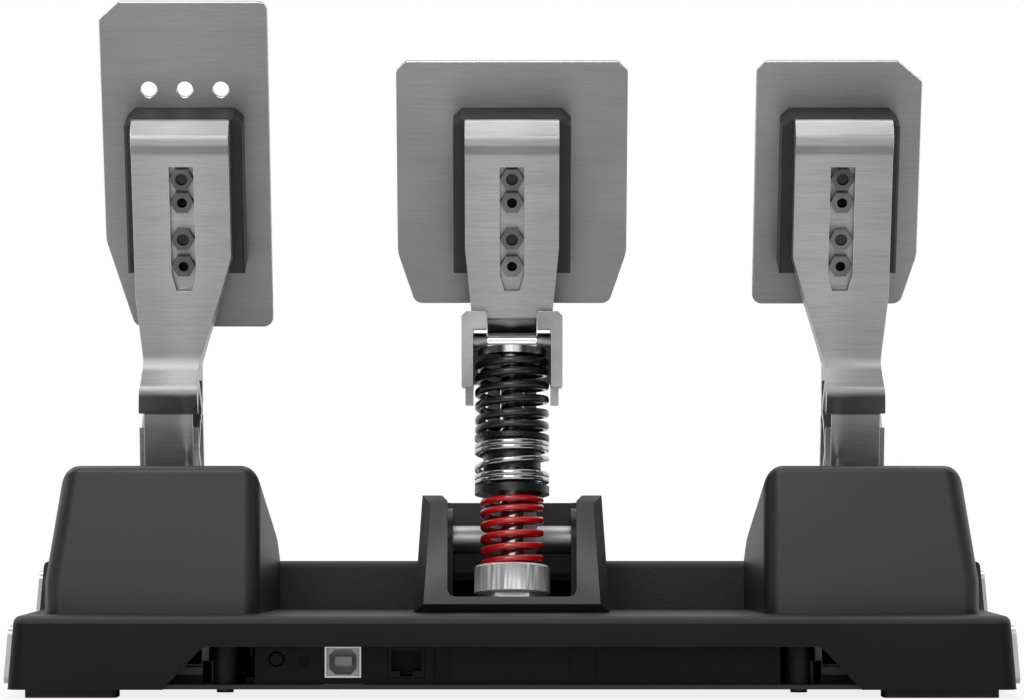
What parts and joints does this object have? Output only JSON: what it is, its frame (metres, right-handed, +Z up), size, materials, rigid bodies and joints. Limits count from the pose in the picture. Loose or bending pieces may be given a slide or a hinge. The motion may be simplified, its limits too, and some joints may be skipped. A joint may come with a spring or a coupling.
{
  "type": "sim racing pedal set",
  "caption": "Racing simulator pedal set: bent milled arms with face plates, a coil-spring brake strut in an open bezel, moulded covers, a sloping heel deck and rear sockets.",
  "frame": {"origin": "on the floor under the middle of the base", "axes": "+X to the right as seen from the rear (pictured) side, +Y towards the driver, +Z up"},
  "size_m": [0.3348, 0.285, 0.2341],
  "materials": {
    "shell_plastic": "fine moulded texture, black",
    "bezel_plastic": "fine moulded texture, dark grey",
    "guide_plastic": "smooth turned plastic, black",
    "black_steel": "satin powder coat, black",
    "zinc_steel": "zinc plated",
    "rubber": "matt",
    "brushed_aluminium": "brushed",
    "arm_aluminium": "brushed lengthwise with bright edges",
    "black_anodised": "satin, black",
    "chrome": "polished",
    "black_spring_steel": "gloss black",
    "bright_spring_steel": "bright plated",
    "red_spring_steel": "gloss red",
    "bronze": "sintered",
    "board_green": "lacquered board",
    "socket_metal": "tinned sheet",
    "socket_plastic": "moulded, black",
    "lamp": "clear lens"
  },
  "bodies": {
    "base": {"deck_shell": "shell_plastic", "bottom_plate": "black_steel", "mounting_inserts": "zinc_steel", "case_screws": "zinc_steel", "frame_bolts": "zinc_steel", "rubber_feet": "rubber", "side_trims": "brushed_aluminium", "heel_plate": "brushed_aluminium", "heel_plate_screws": "zinc_steel", "throttle_tower": "shell_plastic", "clutch_tower": "shell_plastic", "brake_bezel": "bezel_plastic", "throttle_bracket": "zinc_steel", "clutch_bracket": "zinc_steel", "throttle_axle": "zinc_steel", "clutch_axle": "zinc_steel", "return_springs": "bright_spring_steel", "angle_sensors": "board_green", "brake_bracket": "zinc_steel", "brake_axle": "zinc_steel", "axle_sleeves": "brushed_aluminium", "load_cell": "brushed_aluminium", "strut_foot_pin": "zinc_steel", "port_panel": "socket_plastic", "main_board": "board_green", "usb_shell": "socket_metal", "usb_insert": "socket_plastic", "rj12_socket": "socket_plastic", "status_led": "lamp"},
    "throttle_pedal": {"throttle_arm": "arm_aluminium", "throttle_bushing": "bronze", "throttle_magnet": "chrome", "throttle_spacer": "black_anodised", "throttle_plate": "brushed_aluminium", "throttle_screws": "zinc_steel", "throttle_nuts": "zinc_steel"},
    "clutch_pedal": {"clutch_arm": "arm_aluminium", "clutch_bushing": "bronze", "clutch_magnet": "chrome", "clutch_spacer": "black_anodised", "clutch_plate": "brushed_aluminium", "clutch_screws": "zinc_steel", "clutch_nuts": "zinc_steel"},
    "brake_pedal": {"brake_arm": "arm_aluminium", "brake_bushing": "bronze", "brake_spacer": "black_anodised", "brake_plate": "brushed_aluminium", "brake_screws": "zinc_steel", "brake_nuts": "zinc_steel", "clevis_ears": "arm_aluminium", "cross_pins": "chrome"},
    "strut_foot": {"spring_cup": "chrome", "red_spring": "red_spring_steel"},
    "lower_guide": {"lower_guide": "guide_plastic", "silver_spring": "bright_spring_steel"},
    "upper_guide": {"upper_guide": "guide_plastic", "black_spring": "black_spring_steel"},
    "strut_head": {"strut_head": "chrome"},
    "mode_button": {"mode_button": "socket_plastic"}
  },
  "joints": [
    {"name": "throttle_press", "type": "hinge", "parent": "base", "child": "throttle_pedal", "pos_m": [-0.118, -0.05, 0.032], "axis": [1, 0, 0], "range_deg": [0, 18], "stiffness_Nm_per_rad": 6, "springref_deg": -8.59},
    {"name": "clutch_press", "type": "hinge", "parent": "base", "child": "clutch_pedal", "pos_m": [0.118, -0.05, 0.032], "axis": [1, 0, 0], "range_deg": [0, 18], "stiffness_Nm_per_rad": 6, "springref_deg": -8.59},
    {"name": "brake_press", "type": "hinge", "parent": "base", "child": "brake_pedal", "pos_m": [0, -0.044, 0.0507], "axis": [1, 0, 0], "range_deg": [0, 8], "stiffness_Nm_per_rad": 60, "springref_deg": -1.72},
    {"name": "strut_swing", "type": "hinge", "parent": "base", "child": "strut_foot", "pos_m": [0, -0.0877, 0.01315], "axis": [1, 0, 0], "range_deg": [0, 4.9]},
    {"name": "lower_guide_slide", "type": "slide", "parent": "strut_foot", "child": "lower_guide", "axis": [0, -0.1406, -0.9901], "range_m": [0, 0.0012], "deforming": ["red_spring"]},
    {"name": "upper_guide_slide", "type": "slide", "parent": "lower_guide", "child": "upper_guide", "axis": [0, -0.1406, -0.9901], "range_m": [0, 0.0029], "deforming": ["silver_spring"]},
    {"name": "head_slide", "type": "slide", "parent": "upper_guide", "child": "strut_head", "axis": [0, -0.1406, -0.9901], "range_m": [0, 0.0018], "deforming": ["black_spring"]},
    {"name": "mode_press", "type": "slide", "parent": "base", "child": "mode_button", "axis": [0, 1, 0], "range_m": [0, 0.0008], "stiffness_N_per_m": 600, "springref_m": -0.0008}
  ],
  "couplings": [
    {"joint": "strut_swing", "follows": "brake_press", "ratio": 0.60056},
    {"joint": "lower_guide_slide", "follows": "brake_press", "m_per_rad": 0.0078656},
    {"joint": "upper_guide_slide", "follows": "brake_press", "m_per_rad": 0.019664},
    {"joint": "head_slide", "follows": "brake_press", "m_per_rad": 0.011798}
  ]
}
